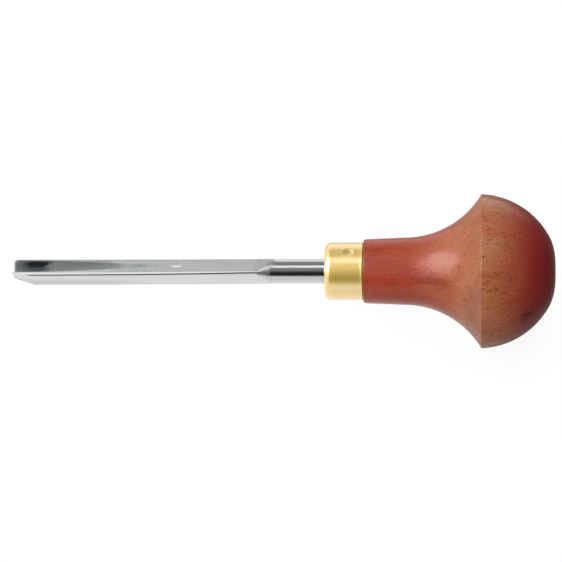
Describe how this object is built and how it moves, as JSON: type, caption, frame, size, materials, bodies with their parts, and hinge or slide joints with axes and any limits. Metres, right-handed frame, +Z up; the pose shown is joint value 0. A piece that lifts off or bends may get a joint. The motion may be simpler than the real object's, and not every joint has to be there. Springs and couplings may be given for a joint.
{
  "type": "palm carving chisel",
  "caption": "Palm carving chisel with a V-channel steel blade, a brass ferrule and a turned mushroom-shaped wooden handle for cutting grooves in wood.",
  "frame": {"origin": "centre of the handle's flat butt face, on the tool's axis", "axes": "+X along the tool's axis and out of the butt, so the cutting edge lies at -X; +Z up, out of the blade's open channel; the XZ plane is the mirror plane"},
  "size_m": [0.1357, 0.0384, 0.0384],
  "materials": {
    "steel": "polished tool steel with fine grinding lines along the blade",
    "brass": "turned and polished brass",
    "wood": "red-brown hardwood under clear gloss lacquer"
  },
  "bodies": {
    "root": {"blade": "steel", "ferrule": "brass", "handle": "wood"}
  },
  "joints": []
}
